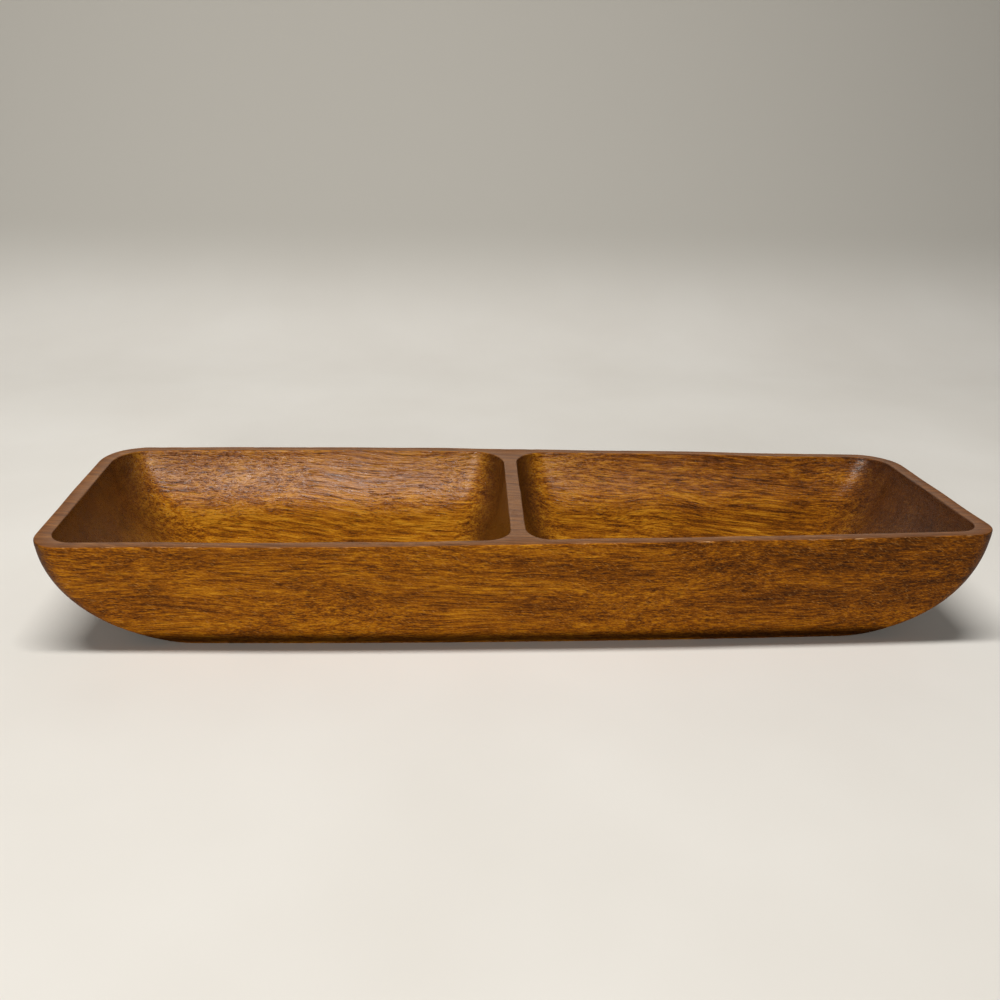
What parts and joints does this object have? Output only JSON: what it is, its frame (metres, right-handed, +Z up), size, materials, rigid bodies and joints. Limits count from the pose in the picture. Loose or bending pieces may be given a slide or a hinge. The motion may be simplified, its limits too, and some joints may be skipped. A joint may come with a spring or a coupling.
{
  "type": "divided serving tray",
  "caption": "Long rectangular serving tray carved from solid wood, with rounded ends and a divider between its compartments.",
  "frame": {"origin": "centre of the flat base, on the surface that the tray stands on", "axes": "+X along the tray, +Y across it towards the back, +Z up"},
  "size_m": [0.457, 0.1368, 0.0594],
  "materials": {
    "oiled_hardwood": "golden-brown hardwood with an oiled satin finish, darker streaks along the grain and worn rim edges"
  },
  "bodies": {
    "root": {"carved_tray": "oiled_hardwood"}
  },
  "joints": []
}
